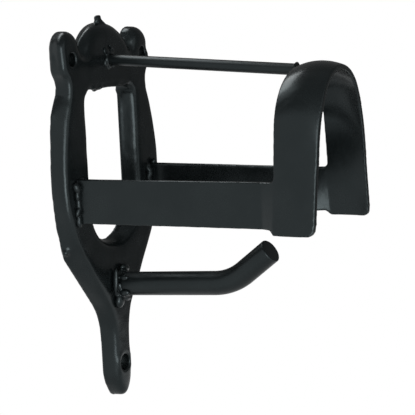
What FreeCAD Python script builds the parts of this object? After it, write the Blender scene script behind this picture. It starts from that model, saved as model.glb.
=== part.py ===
"""Wall bracket for a bridle: cast back plate, pressed saddle yoke, stay rod and rein hook, welded together.

Frame: millimetres, +Z up, +X to the right as seen from the room, wall plane at Y = 0, bracket towards -Y.
The origin is on the wall plane, midway between the two ear holes. Heights are given as drops below the ear
holes, and distances from the wall as reaches, so that every driving size is a positive number.
"""
import FreeCAD
import Part
import math
import os
import Sketcher

Vector = FreeCAD.Vector

SIZES = [
    # back plate: fixing holes
    ("earHoleSpacing", 76.0, "between the two upper screw holes"),
    ("earHoleDiameter", 7.5, "upper screw holes"),
    ("tailHoleDrop", 182.5, "ear holes down to the tail hole"),
    ("tailHoleDiameter", 9.5, "lower screw hole"),
    ("holeRounding", 0.6, "rim of each screw hole"),
    # back plate: outline, from the crown of the dome down to the tip of the tail
    ("plateThickness", 11.0, "casting thickness"),
    ("frontRounding", 3.6, "front edge along the sides and the tail"),
    ("lobeRounding", 7.5, "front edge over the dome and the ears, which makes the creases at the notches"),
    ("backRounding", 0.8, "back edge of the outline"),
    ("domeGap", 13.1, "from the ear hole in to the dome's side"),
    ("domeRise", 19.6, "top of the dome above the ear holes"),
    ("valleyRadius", 2.5, "notch between dome and ear"),
    ("earRadius", 9.6, "rounded ear"),
    ("earEdge", 7.9, "from the ear hole out to the ear's side"),
    ("earRise", 4.2, "centre of the ear's curve above the ear holes"),
    ("earSide", 8.4, "straight side of the ear"),
    ("earShoulder", 8.0, "curve from the ear's side into the waist"),
    ("waistInset", 4.3, "waist inside the ears"),
    ("waistRadius", 12.0, "hollow of the waist"),
    ("bellySwell", 10.0, "widest place outside the waist"),
    ("bellyDrop", 69.6, "drop of the widest place"),
    ("bellyRadius", 76.6, "curve below the widest place"),
    ("flankAngle", 35.0, "flank from the vertical, in degrees"),
    ("tailSweep", 38.0, "hollow curve into the tail"),
    ("tailHalf", 8.7, "half width of the tail"),
    ("tailBelow", 5.1, "tail hole down to where the tail starts to close"),
    ("tipBelow", 20.9, "tail hole down to the tip"),
    ("tipRadius", 4.6, "rounded tip"),
    # back plate: window
    ("windowHalf", 25.4, "half width of the window"),
    ("windowTopDrop", 17.8, "drop of the window's top edge"),
    ("windowBottomDrop", 110.4, "drop of the window's lowest point"),
    ("windowCorner", 8.0, "upper corners of the window"),
    ("windowRounding", 4.4, "front edge of the window"),
    # back plate: hanging nib, the stub left where the casting hung in the coating line
    ("nibDiameter", 2.4, "blob at the end of the nib"),
    ("nibStem", 1.0, "stem of the nib"),
    ("nibRise", 3.4, "blob's centre above the dome"),
    # saddle yoke
    ("sheet", 3.2, "thickness of the pressed sheet"),
    ("armHeight", 25.4, "height of each arm"),
    ("armTopDrop", 67.0, "drop of the arms' top edges"),
    ("armInset", 10.5, "arms at the plate inside its widest place"),
    ("joggle", 8.0, "length of the step from arm to leg"),
    ("jogStep", 4.1, "arm inside the foot of its leg"),
    ("cornerFillet", 2.4, "arm's top edge into the leg's back edge"),
    ("backReach", 131.9, "back rim of the arch"),
    ("crownDepth", 13.1, "back rim of the arch out to its crown line"),
    ("archDepth", 25.6, "back rim out to the front rim, at the height of the ear holes"),
    ("frontLean", 1.2, "outward lean of the front rim, in degrees"),
    ("footBelow", 2.6, "feet of the legs below the arms"),
    ("footCorner", 4.0, "rounded front corner of each foot"),
    ("backApex", 7.8, "drop of the arch at its back rim"),
    ("backEase", 0.12, "line of the leg outside the top's circle at the back rim"),
    ("backGain", 6.0, "shoulder radius over the top radius at the back rim"),
    ("backSplay", 5.5, "splay of the legs at the back rim, in degrees"),
    ("backFoot", 39.4, "half width over the feet at the back rim"),
    ("crownApex", 4.9, "drop of the arch at its crown line"),
    ("crownEase", 2.053, "line of the leg outside the top's circle at the crown line"),
    ("crownGain", 24.0, "shoulder radius over the top radius at the crown line"),
    ("crownSplay", 6.5, "splay of the legs at the crown line, in degrees"),
    ("crownFlare", 0.6, "feet at the crown line outside those at the back rim"),
    ("frontApex", 7.3, "drop of the arch at its front rim"),
    ("frontEase", 3.835, "line of the leg outside the top's circle at the front rim"),
    ("frontGain", 59.0, "shoulder radius over the top radius at the front rim"),
    ("frontSplay", 8.0, "splay of the legs at the front rim, in degrees"),
    ("frontTuck", 0.6, "feet at the front rim inside those at the back rim"),
    # stay rod
    ("rodDiameter", 6.5, "round bar"),
    ("rodRootDrop", 2.1, "rod's axis at the plate"),
    ("rodEndBelow", 1.9, "rod's axis below the arch's outer face at its back rim"),
    # rein hook
    ("hookDiameter", 14.0, "round bar"),
    ("hookBelow", 24.3, "hook's axis below the window"),
    ("hookRise", 3.4, "rise of the straight part, in degrees"),
    ("hookBendReach", 74.6, "start of the bend"),
    ("hookBendRadius", 35.0, "centre line of the bend"),
    ("hookTipAngle", 38.0, "rise of the tip, in degrees"),
    ("hookTipReach", 110.9, "centre of the cut end"),
    ("hookEndRounding", 0.8, "edge of the cut end"),
    # weld beads
    ("armBead", 3.4, "leg length of the beads on the arms"),
    ("rodBead", 3.0, "leg length of the bead round the rod at the plate"),
    ("rodEndBead", 1.6, "leg length of the bead round the rod at the arch"),
    ("hookBead", 4.6, "leg length of the bead round the hook"),
    ("beadToe", 0.15, "thin end of each bead round a bar"),
]
LINKS = [
    # sizes that follow from others: name, terms that are added up, meaning
    ("earHalf", ((0.5, "earHoleSpacing"), (1, "earEdge")), "half width over the ears"),
    ("domeRadius", ((0.5, "earHoleSpacing"), (-1, "domeGap")), "dome between the ears"),
    ("waistHalf", ((1, "earHalf"), (-1, "waistInset")), "half width at the waist"),
    ("bellyHalf", ((1, "waistHalf"), (1, "bellySwell")), "half width at the widest place"),
    ("tailEndDrop", ((1, "tailHoleDrop"), (1, "tailBelow")), "drop at which the tail starts to close"),
    ("tipDrop", ((1, "tailHoleDrop"), (1, "tipBelow")), "drop of the tip"),
    ("armRootHalf", ((1, "bellyHalf"), (-1, "armInset")), "outer half spacing of the arms at the plate"),
    ("armEndHalf", ((1, "backFoot"), (-1, "jogStep")), "outer half spacing of the arms before the joggle"),
    ("armLowDrop", ((1, "armTopDrop"), (1, "armHeight")), "drop of the arms' lower edges"),
    ("footDrop", ((1, "armLowDrop"), (1, "footBelow")), "drop of the feet of the legs"),
    ("crownReach", ((1, "backReach"), (1, "crownDepth")), "crown line of the arch"),
    ("frontReach", ((1, "backReach"), (1, "archDepth")), "front rim of the arch"),
    ("crownFoot", ((1, "backFoot"), (1, "crownFlare")), "half width over the feet at the crown line"),
    ("frontFoot", ((1, "backFoot"), (-1, "frontTuck")), "half width over the feet at the front rim"),
    ("rodEndDrop", ((1, "backApex"), (1, "rodEndBelow")), "rod's axis at the arch"),
    ("hookRootDrop", ((1, "windowBottomDrop"), (1, "hookBelow")), "hook's axis at the plate"),
]
VALUE = {name: value for name, value, note in SIZES}
LINKED = {}
for name, terms, note in LINKS:
    VALUE[name] = sum(factor * VALUE[term] for factor, term in terms)
    LINKED[name] = "(" + " + ".join("%s * %s" % (factor, term) for factor, term in terms) + ")"

doc = FreeCAD.newDocument("BridleBracket")
sheet = doc.addObject("Spreadsheet::Sheet", "sizes")
for row, (name, value, note) in enumerate(SIZES, start=1):
    sheet.set("A%d" % row, name)
    sheet.set("B%d" % row, str(value))
    sheet.setAlias("B%d" % row, name)
    sheet.set("C%d" % row, note)
doc.recompute()


def cell(expression):
    """Turn bare size names in an expression into references to the sheet, linked sizes written out."""
    words = []
    word = ""
    for letter in expression + " ":
        if letter.isalnum():
            word += letter
            continue
        if word in LINKED:
            word = cell(LINKED[word])
        elif word in VALUE:
            word = "sizes." + word
        words.append(word + letter)
        word = ""
    return "".join(words).strip()


def polar(centre, radius, degrees):
    """Point at an angle on a circle."""
    angle = math.radians(degrees)
    return Vector(centre.x + radius * math.cos(angle), centre.y + radius * math.sin(angle), 0)


def bearing(start, end):
    """Angle of the line from one point to another, in degrees."""
    return math.degrees(math.atan2(end.y - start.y, end.x - start.x))


class Outline:
    """A sketch on one of a body's origin planes, drawn as a chain of lines and arcs with bound sizes."""

    def __init__(self, body, name, plane="XZ_Plane", reach="0", lean="0"):
        self.sketch = body.newObject("Sketcher::SketchObject", name)
        role = [part for part in body.Origin.OriginFeatures if part.Role == plane][0]
        self.sketch.AttachmentSupport = [(role, "")]
        self.sketch.MapMode = "FlatFace"
        if reach != "0":
            self.sketch.setExpression(".AttachmentOffset.Base.z", cell(reach))
        if lean != "0":
            self.sketch.AttachmentOffset = FreeCAD.Placement(Vector(), FreeCAD.Rotation(Vector(1, 0, 0), 1))
            self.sketch.setExpression(".AttachmentOffset.Rotation.Angle", "(" + cell(lean) + ") * 1 deg")

    def line(self, start, end):
        """Straight edge; its first point is 1 and its last is 2."""
        return self.sketch.addGeometry(Part.LineSegment(start, end), False), 1, 2

    def arc(self, centre, radius, first, last):
        """Arc drawn from one angle to another, either way round."""
        circle = Part.Circle(centre, Vector(0, 0, 1), radius)
        low, high = sorted((math.radians(first), math.radians(last)))
        number = self.sketch.addGeometry(Part.ArcOfCircle(circle, low, high), False)
        return (number, 1, 2) if first < last else (number, 2, 1)

    def circle(self, centre, radius):
        """Full circle."""
        return self.sketch.addGeometry(Part.Circle(centre, Vector(0, 0, 1), radius), False), 3, 3

    def join(self, first, second, smooth=True):
        """Let one edge run into the next."""
        kind = "Tangent" if smooth else "Coincident"
        self.sketch.addConstraint(Sketcher.Constraint(kind, first[0], first[2], second[0], second[1]))

    def rule(self, *terms):
        """Any other constraint without a size."""
        self.sketch.addConstraint(Sketcher.Constraint(*terms))

    def bind(self, expression, *terms):
        """A constraint whose size comes from the sheet."""
        angle = terms[0] == "Angle"
        number = self.sketch.addConstraint(Sketcher.Constraint(*terms))
        bound = "(" + cell(expression) + ") * 1 deg" if angle else cell(expression)
        self.sketch.setExpression("Constraints[%d]" % number, bound)

    def across(self, edge, point, expression, place):
        """Distance of a point to the right of the vertical axis."""
        self.bind(expression, "DistanceX", -1, 1, edge, point, place)

    def above(self, edge, point, expression, place):
        """Height of a point above the horizontal axis."""
        self.bind(expression, "DistanceY", -1, 1, edge, point, place)

    def below(self, edge, point, expression, place):
        """Drop of a point below the horizontal axis."""
        self.bind(expression, "DistanceY", edge, point, -1, 1, place)

    def left(self, edge, point, expression, place):
        """Distance of a point to the left of the vertical axis."""
        self.bind(expression, "DistanceX", edge, point, -1, 1, place)


def newBody(name):
    """Body with a label that names its file."""
    body = doc.addObject("PartDesign::Body", name)
    body.Label = name
    return body


def plane(body, role):
    """One of a body's origin planes."""
    return [part for part in body.Origin.OriginFeatures if part.Role == role][0]


def edgesWhere(shape, test):
    """Names of the edges that pass a test."""
    return ["Edge%d" % (number + 1) for number, edge in enumerate(shape.Edges) if test(edge)]


def flatAt(edge, reach):
    """True when an edge lies wholly at one reach from the wall."""
    return abs(edge.BoundBox.YMin + reach) < 0.01 and abs(edge.BoundBox.YMax + reach) < 0.01


def roundEdges(body, name, base, edges, radius):
    """Fillet on a list of named edges."""
    fillet = body.newObject("PartDesign::Fillet", name)
    fillet.Base = (base, edges)
    fillet.setExpression("Radius", cell(radius))
    doc.recompute()
    return fillet


# ---- back plate
def plateOutline(body):
    """Right half of the lyre-shaped outline, closed along the middle."""
    size = VALUE
    dome = Vector(0, size["domeRise"] - size["domeRadius"], 0)
    ear = Vector(size["earHalf"] - size["earRadius"], size["earRise"], 0)
    # the notch's arc touches both circles from outside
    span = dome.distanceToPoint(ear)
    toDome = size["domeRadius"] + size["valleyRadius"]
    toEar = size["earRadius"] + size["valleyRadius"]
    along = (toDome ** 2 - toEar ** 2 + span ** 2) / (2 * span)
    valley = polar(dome, toDome, bearing(dome, ear) + math.degrees(math.acos(along / toDome)))
    sideEnd = size["earRise"] - size["earSide"]
    shoulder = Vector(size["earHalf"] - size["earShoulder"], sideEnd, 0)
    waistX = size["waistHalf"] + size["waistRadius"]
    reach = size["earShoulder"] + size["waistRadius"]
    waist = Vector(waistX, sideEnd - math.sqrt(reach ** 2 - (waistX - shoulder.x) ** 2), 0)
    # the upper belly touches the waist's circle and is upright at the widest place
    gap = waist.x - size["bellyHalf"]
    rise = waist.y + size["bellyDrop"]
    upper = (gap ** 2 + rise ** 2 - size["waistRadius"] ** 2) / (2 * (size["waistRadius"] - gap))
    upperBelly = Vector(size["bellyHalf"] - upper, -size["bellyDrop"], 0)
    lowerBelly = Vector(size["bellyHalf"] - size["bellyRadius"], -size["bellyDrop"], 0)
    flankTop = polar(lowerBelly, size["bellyRadius"], -size["flankAngle"])
    slope = math.tan(math.radians(size["flankAngle"]))
    corner = Vector(size["tailHalf"], flankTop.y - (flankTop.x - size["tailHalf"]) / slope, 0)
    run = size["tailSweep"] * math.tan(math.radians(size["flankAngle"] / 2))
    sweep = Vector(size["tailHalf"] + size["tailSweep"], corner.y - run, 0)
    # the tail closes on the tip's circle
    tip = Vector(0, size["tipRadius"] - size["tipDrop"], 0)
    drop = -size["tailEndDrop"] - tip.y
    closing = ((size["tailHalf"] ** 2 + drop ** 2 - size["tipRadius"] ** 2)
               / (2 * (size["tailHalf"] - size["tipRadius"])))
    close = Vector(size["tailHalf"] - closing, -size["tailEndDrop"], 0)

    outline = Outline(body, "plate_outline")
    domeEdge = outline.arc(dome, size["domeRadius"], 90, bearing(dome, valley))
    valleyEdge = outline.arc(valley, size["valleyRadius"], bearing(valley, dome) % 360,
                             bearing(valley, ear) % 360)
    earEdge = outline.arc(ear, size["earRadius"], bearing(ear, valley), 0)
    earLine = outline.line(Vector(size["earHalf"], size["earRise"], 0), Vector(size["earHalf"], sideEnd, 0))
    shoulderEdge = outline.arc(shoulder, size["earShoulder"], 0, bearing(shoulder, waist))
    waistEdge = outline.arc(waist, size["waistRadius"], bearing(waist, shoulder),
                            bearing(waist, upperBelly) % 360)
    upperBellyEdge = outline.arc(upperBelly, upper, bearing(upperBelly, waist), 0)
    lowerBellyEdge = outline.arc(lowerBelly, size["bellyRadius"], 0, -size["flankAngle"])
    flankLine = outline.line(flankTop, polar(sweep, size["tailSweep"], 180 - size["flankAngle"]))
    sweepEdge = outline.arc(sweep, size["tailSweep"], 180 - size["flankAngle"], 180)
    tailLine = outline.line(Vector(size["tailHalf"], sweep.y, 0),
                            Vector(size["tailHalf"], -size["tailEndDrop"], 0))
    closingEdge = outline.arc(close, closing, 0, bearing(close, tip))
    tipEdge = outline.arc(tip, size["tipRadius"], bearing(close, tip), -90)
    middleLine = outline.line(Vector(0, -size["tipDrop"], 0), Vector(0, size["domeRise"], 0))
    chain = [domeEdge, valleyEdge, earEdge, earLine, shoulderEdge, waistEdge, upperBellyEdge, lowerBellyEdge,
             flankLine, sweepEdge, tailLine, closingEdge, tipEdge]
    for first, second in zip(chain, chain[1:]):
        outline.join(first, second)
    outline.join(tipEdge, middleLine, smooth=False)
    outline.join(middleLine, domeEdge, smooth=False)
    outline.rule("PointOnObject", middleLine[0], 1, -2)
    outline.rule("PointOnObject", middleLine[0], 2, -2)
    outline.rule("PointOnObject", domeEdge[0], 3, -2)
    outline.rule("PointOnObject", tipEdge[0], 3, -2)
    outline.rule("Vertical", earLine[0])
    outline.rule("Vertical", tailLine[0])
    outline.rule("Horizontal", upperBellyEdge[0], 3, upperBellyEdge[0], upperBellyEdge[2])
    outline.above(middleLine[0], 2, "domeRise", size["domeRise"])
    outline.below(middleLine[0], 1, "tipDrop", size["tipDrop"])
    outline.bind("domeRadius", "Radius", domeEdge[0], size["domeRadius"])
    outline.bind("valleyRadius", "Radius", valleyEdge[0], size["valleyRadius"])
    outline.bind("earRadius", "Radius", earEdge[0], size["earRadius"])
    outline.across(earLine[0], 1, "earHalf", size["earHalf"])
    outline.above(earEdge[0], 3, "earRise", size["earRise"])
    outline.bind("earSide", "Distance", earLine[0], size["earSide"])
    outline.bind("earShoulder", "Radius", shoulderEdge[0], size["earShoulder"])
    outline.bind("waistRadius", "Radius", waistEdge[0], size["waistRadius"])
    outline.across(waistEdge[0], 3, "waistHalf + waistRadius", waistX)
    outline.across(upperBellyEdge[0], upperBellyEdge[2], "bellyHalf", size["bellyHalf"])
    outline.below(upperBellyEdge[0], upperBellyEdge[2], "bellyDrop", size["bellyDrop"])
    outline.bind("bellyRadius", "Radius", lowerBellyEdge[0], size["bellyRadius"])
    outline.bind("-90 - flankAngle", "Angle", flankLine[0], math.radians(-90 - size["flankAngle"]))
    outline.bind("tailSweep", "Radius", sweepEdge[0], size["tailSweep"])
    outline.across(tailLine[0], 2, "tailHalf", size["tailHalf"])
    outline.below(tailLine[0], 2, "tailEndDrop", size["tailEndDrop"])
    outline.bind("tipRadius", "Radius", tipEdge[0], size["tipRadius"])
    return outline.sketch


def windowOutline(body):
    """Window with a flat top, two rounded corners and a half-round bottom."""
    size = VALUE
    half, corner = size["windowHalf"], size["windowCorner"]
    top, low = -size["windowTopDrop"], -size["windowBottomDrop"]
    outline = Outline(body, "window_outline")
    topLine = outline.line(Vector(corner - half, top, 0), Vector(half - corner, top, 0))
    rightCorner = outline.arc(Vector(half - corner, top - corner, 0), corner, 90, 0)
    rightLine = outline.line(Vector(half, top - corner, 0), Vector(half, low + half, 0))
    bottomArc = outline.arc(Vector(0, low + half, 0), half, 0, -180)
    leftLine = outline.line(Vector(-half, low + half, 0), Vector(-half, top - corner, 0))
    leftCorner = outline.arc(Vector(corner - half, top - corner, 0), corner, 180, 90)
    ring = [topLine, rightCorner, rightLine, bottomArc, leftLine, leftCorner, topLine]
    for first, second in zip(ring, ring[1:]):
        outline.join(first, second)
    outline.rule("Horizontal", topLine[0])
    outline.rule("Vertical", rightLine[0])
    outline.rule("Vertical", leftLine[0])
    outline.rule("PointOnObject", bottomArc[0], 3, -2)
    outline.rule("Equal", rightCorner[0], leftCorner[0])
    outline.bind("windowHalf", "Radius", bottomArc[0], half)
    outline.bind("windowCorner", "Radius", rightCorner[0], corner)
    outline.below(topLine[0], 1, "windowTopDrop", size["windowTopDrop"])
    outline.below(bottomArc[0], 3, "windowBottomDrop - windowHalf", size["windowBottomDrop"] - half)
    return outline.sketch


def holeOutline(body):
    """Two ear holes and the tail hole."""
    size = VALUE
    outline = Outline(body, "hole_outline")
    half = size["earHoleSpacing"] / 2
    right = outline.circle(Vector(half, 0, 0), size["earHoleDiameter"] / 2)
    left = outline.circle(Vector(-half, 0, 0), size["earHoleDiameter"] / 2)
    tail = outline.circle(Vector(0, -size["tailHoleDrop"], 0), size["tailHoleDiameter"] / 2)
    outline.rule("PointOnObject", right[0], 3, -1)
    outline.rule("PointOnObject", tail[0], 3, -2)
    outline.rule("Symmetric", left[0], 3, right[0], 3, -1, 1)
    outline.rule("Equal", left[0], right[0])
    outline.across(right[0], 3, "earHoleSpacing / 2", half)
    outline.below(tail[0], 3, "tailHoleDrop", size["tailHoleDrop"])
    outline.bind("earHoleDiameter", "Diameter", right[0], size["earHoleDiameter"])
    outline.bind("tailHoleDiameter", "Diameter", tail[0], size["tailHoleDiameter"])
    return outline.sketch


def cutThrough(body, name, profile, bothWays=False):
    """Pocket through everything on one side of its sketch, or on both."""
    before = body.Shape.Volume
    pocket = body.newObject("PartDesign::Pocket", name)
    pocket.Profile = profile
    pocket.Type = "ThroughAll"
    if bothWays:
        pocket.Midplane = True
    else:
        pocket.Reversed = True
    doc.recompute()
    if pocket.Shape.Volume > before - 1:
        raise RuntimeError(name + " removed nothing")
    return pocket


def nibOutline(body):
    """Half section of the nib: a stem with a blob on its end, turned about the upright axis."""
    size = VALUE
    blob, stem = size["nibDiameter"] / 2, size["nibStem"] / 2
    foot = size["domeRise"] - size["nibStem"]
    centre = Vector(0, size["domeRise"] + size["nibRise"], 0)
    neck = math.degrees(math.asin(stem / blob)) - 90
    outline = Outline(body, "nib_outline", reach="plateThickness / 2")
    footLine = outline.line(Vector(0, foot, 0), Vector(stem, foot, 0))
    stemLine = outline.line(Vector(stem, foot, 0), polar(centre, blob, neck))
    blobArc = outline.arc(centre, blob, neck, 90)
    axisLine = outline.line(Vector(0, centre.y + blob, 0), Vector(0, foot, 0))
    ring = [footLine, stemLine, blobArc, axisLine, footLine]
    for first, second in zip(ring, ring[1:]):
        outline.join(first, second, smooth=False)
    outline.rule("Horizontal", footLine[0])
    outline.rule("Vertical", stemLine[0])
    outline.rule("PointOnObject", axisLine[0], 1, -2)
    outline.rule("PointOnObject", axisLine[0], 2, -2)
    outline.rule("PointOnObject", blobArc[0], 3, -2)
    outline.bind("nibDiameter / 2", "Radius", blobArc[0], blob)
    outline.across(footLine[0], 2, "nibStem / 2", stem)
    outline.above(footLine[0], 1, "domeRise - nibStem", foot)
    outline.above(blobArc[0], 3, "domeRise + nibRise", centre.y)
    return outline.sketch


def makePlate():
    """Cast plate: window, rounded edges, screw holes and nib."""
    size = VALUE
    blank = newBody("plate_blank")
    pad = blank.newObject("PartDesign::Pad", "half_plate")
    pad.Profile = plateOutline(blank)
    pad.setExpression("Length", cell("plateThickness"))
    doc.recompute()
    mirrored = blank.newObject("PartDesign::Mirrored", "whole_plate")
    mirrored.Originals = [pad]
    mirrored.MirrorPlane = (plane(blank, "YZ_Plane"), [""])
    blank.Tip = mirrored
    doc.recompute()
    windowCut = cutThrough(blank, "window", windowOutline(blank))

    def inWindow(edge):
        box = edge.BoundBox
        return (max(abs(box.XMin), abs(box.XMax)) < size["windowHalf"] + 0.1
                and box.ZMax < 0.1 - size["windowTopDrop"] and box.ZMin > -size["windowBottomDrop"] - 0.1)

    def frontWindow(edge):
        return flatAt(edge, size["plateThickness"]) and inWindow(edge)

    def backOutline(edge):
        return flatAt(edge, 0) and not inWindow(edge)
    names = edgesWhere(windowCut.Shape, frontWindow)
    inside = roundEdges(blank, "window_edge", windowCut, names, "windowRounding")
    names = edgesWhere(inside.Shape, backOutline)
    roundEdges(blank, "back_edge", inside, names, "backRounding")

    centres = ((size["earHoleSpacing"] / 2, 0, size["earHoleDiameter"] / 2),
               (-size["earHoleSpacing"] / 2, 0, size["earHoleDiameter"] / 2),
               (0, -size["tailHoleDrop"], size["tailHoleDiameter"] / 2))

    def nearBore(edge):
        point = edge.valueAt((edge.FirstParameter + edge.LastParameter) / 2)
        return min(abs(math.hypot(point.x - x, point.z - z) - radius) for x, z, radius in centres) < 0.01

    # the front edge is rounder over the dome and the ears, and eases off down the ears' straight sides
    softened = doc.addObject("Part::Fillet", "front_edge")
    softened.Base = blank
    lobe, side = size["lobeRounding"], size["frontRounding"]
    edges = []
    for number, edge in enumerate(blank.Shape.Edges, start=1):
        if not flatAt(edge, size["plateThickness"]) or inWindow(edge):
            continue
        high, low = edge.BoundBox.ZMax, edge.BoundBox.ZMin
        if low > size["earRise"] - size["earSide"] / 2:
            edges.append((number, lobe, lobe))
        elif high > size["earRise"] - size["earSide"] / 2:
            edges.append((number, lobe, side))
        else:
            edges.append((number, side, side))
    softened.Edges = edges
    doc.recompute()

    bores = newBody("screw_bores")
    bore = bores.newObject("PartDesign::Pad", "bore_pins")
    bore.Profile = holeOutline(bores)
    bore.setExpression("Length", cell("plateThickness"))
    doc.recompute()
    drilled = doc.addObject("Part::Cut", "screw_holes")
    drilled.Base = softened
    drilled.Tool = bores
    doc.recompute()
    rims = doc.addObject("Part::Fillet", "hole_rims")
    rims.Base = drilled
    radii = (size["earHoleDiameter"] / 2, size["tailHoleDiameter"] / 2)
    corners = []
    for number, edge in enumerate(drilled.Shape.Edges, start=1):
        box = edge.BoundBox
        wide = max(box.XLength, box.ZLength) < 2 * max(radii) + 0.5
        flat = box.YLength < size["plateThickness"] / 3
        if wide and flat and box.YMax < -size["plateThickness"] / 2 and nearBore(edge):
            corners.append((number, size["holeRounding"], size["holeRounding"]))
    rims.Edges = corners
    doc.recompute()
    nib = newBody("hanging_nib")
    turned = nib.newObject("PartDesign::Revolution", "nib_blob")
    turned.Profile = nibOutline(nib)
    turned.ReferenceAxis = (turned.Profile[0], ["V_Axis"])
    turned.Angle = 360
    doc.recompute()
    whole = doc.addObject("Part::Fuse", "back_plate")
    whole.Base = rims
    whole.Tool = nib
    whole.Label = "back_plate"
    doc.recompute()
    return whole


# ---- saddle yoke
def archSection(body, rimName, reach, lean="0"):
    """Arch's section at one rim: a top arc, two shoulder arcs and two splayed legs, one sheet thick."""
    size = VALUE
    sheetWall = size["sheet"]
    splay, foot, apex = size[rimName + "Splay"], size[rimName + "Foot"], size[rimName + "Apex"]
    out = Vector(math.cos(math.radians(splay)), math.sin(math.radians(splay)), 0)
    # the top's radius follows from the line of the leg, so that the two never cross
    top = (foot * out.x - (size["footDrop"] - apex) * out.y - size[rimName + "Ease"]) / (1 - out.y)
    shoulder = top + size[rimName + "Gain"]
    topText = ("((RIMFoot * cos(RIMSplay * 1 deg) - (footDrop - RIMApex) * sin(RIMSplay * 1 deg) - RIMEase)"
               " / (1 - sin(RIMSplay * 1 deg)))").replace("RIM", rimName)
    up = Vector(-out.y, out.x, 0)
    topCentre = Vector(0, -apex - top, 0)
    # the shoulder touches the leg's line and the top circle
    offset = (Vector(foot, -size["footDrop"], 0) - topCentre).dot(out) - shoulder
    side = math.sqrt((shoulder - top) ** 2 - offset ** 2)
    shoulderCentre = topCentre + out * offset - up * side
    turn = bearing(shoulderCentre, topCentre)
    innerFoot = foot - sheetWall / out.x

    outline = Outline(body, rimName + "_section", reach=reach, lean=lean)
    outerTop = outline.arc(topCentre, top, turn, 180 - turn)
    innerTop = outline.arc(topCentre, top - sheetWall, turn, 180 - turn)
    sides = []
    for sign, near, far in ((1, 1, 2), (-1, 2, 1)):
        centre = Vector(sign * shoulderCentre.x, shoulderCentre.y, 0)
        high, low = (turn, splay) if sign > 0 else (180 - turn, 180 - splay)
        outerSole = Vector(sign * foot, -size["footDrop"], 0)
        innerSole = Vector(sign * innerFoot, -size["footDrop"], 0)
        outerShoulder = outline.arc(centre, shoulder, high, low)
        outerLeg = outline.line(polar(centre, shoulder, low), outerSole)
        sole = outline.line(outerSole, innerSole)
        innerLeg = outline.line(innerSole, polar(centre, shoulder - sheetWall, low))
        innerShoulder = outline.arc(centre, shoulder - sheetWall, low, high)
        outline.join((outerTop[0], far, near), outerShoulder)
        outline.join(outerShoulder, outerLeg)
        outline.join(outerLeg, sole, smooth=False)
        outline.join(sole, innerLeg, smooth=False)
        outline.join(innerLeg, innerShoulder)
        outline.join(innerShoulder, (innerTop[0], near, far))
        outline.rule("Coincident", outerShoulder[0], 3, innerShoulder[0], 3)
        outline.rule("Horizontal", sole[0])
        outline.rule("Parallel", outerLeg[0], innerLeg[0])
        sides.append((outerShoulder[0], outerLeg[0]))
    (rightShoulder, rightLeg), (leftShoulder, leftLeg) = sides
    outline.rule("Coincident", outerTop[0], 3, innerTop[0], 3)
    outline.rule("PointOnObject", outerTop[0], 3, -2)
    outline.rule("Equal", rightShoulder, leftShoulder)
    outline.rule("Horizontal", rightShoulder, 3, leftShoulder, 3)
    outline.rule("Symmetric", rightLeg, 2, leftLeg, 2, -2)
    outline.bind(topText, "Radius", outerTop[0], top)
    outline.bind(topText + " - sheet", "Radius", innerTop[0], top - sheetWall)
    outline.below(outerTop[0], 3, rimName + "Apex + " + topText, apex + top)
    outline.bind(topText + " + " + rimName + "Gain", "Radius", rightShoulder, shoulder)
    outline.bind(rimName + "Splay - 90", "Angle", rightLeg, math.radians(splay - 90))
    outline.across(rightLeg, 2, rimName + "Foot", foot)
    outline.below(rightLeg, 2, "footDrop", size["footDrop"])
    return outline.sketch


def footCornerOutline(body):
    """Side view of the scrap outside the foot's rounded front corner."""
    size = VALUE
    spare = size["sheet"]
    corner = size["footCorner"]
    front = size["frontReach"] - size["footDrop"] * math.tan(math.radians(size["frontLean"]))
    frontText = "(frontReach - footDrop * tan(frontLean * 1 deg))"
    low = size["footDrop"]
    places = [(front - corner, low), (front, low - corner), (front + spare, low - corner),
              (front + spare, low + spare), (front - corner, low + spare)]
    reaches = [frontText + " - footCorner", frontText, frontText + " + sheet", frontText + " + sheet",
               frontText + " - footCorner"]
    drops = ["footDrop", "footDrop - footCorner", "footDrop - footCorner", "footDrop + sheet",
             "footDrop + sheet"]
    points = [Vector(-distance, -drop, 0) for distance, drop in places]
    outline = Outline(body, "foot_scrap", plane="YZ_Plane")
    edges = [outline.arc(Vector(corner - front, corner - low, 0), corner, 270, 180)]
    edges += [outline.line(points[n], points[(n + 1) % 5]) for n in range(1, 5)]
    for n in range(5):
        outline.join(edges[n], edges[(n + 1) % 5], smooth=False)
    for edge, point, distance, drop in zip(edges, points, reaches, drops):
        outline.left(edge[0], edge[1], distance, -point.x)
        outline.below(edge[0], edge[1], drop, -point.y)
    outline.bind("footCorner", "Radius", edges[0][0], corner)
    return outline.sketch


def makeArch():
    """Band of the arch, crowned from back to front, with its two splayed legs."""
    body = newBody("arch")
    band = body.newObject("PartDesign::AdditiveLoft", "crowned_band")
    band.Profile = archSection(body, "back", "backReach")
    band.Sections = [archSection(body, "crown", "crownReach"),
                     archSection(body, "front", "frontReach", lean="frontLean")]
    doc.recompute()
    cutThrough(body, "foot_corners", footCornerOutline(body), bothWays=True)
    return body


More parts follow.
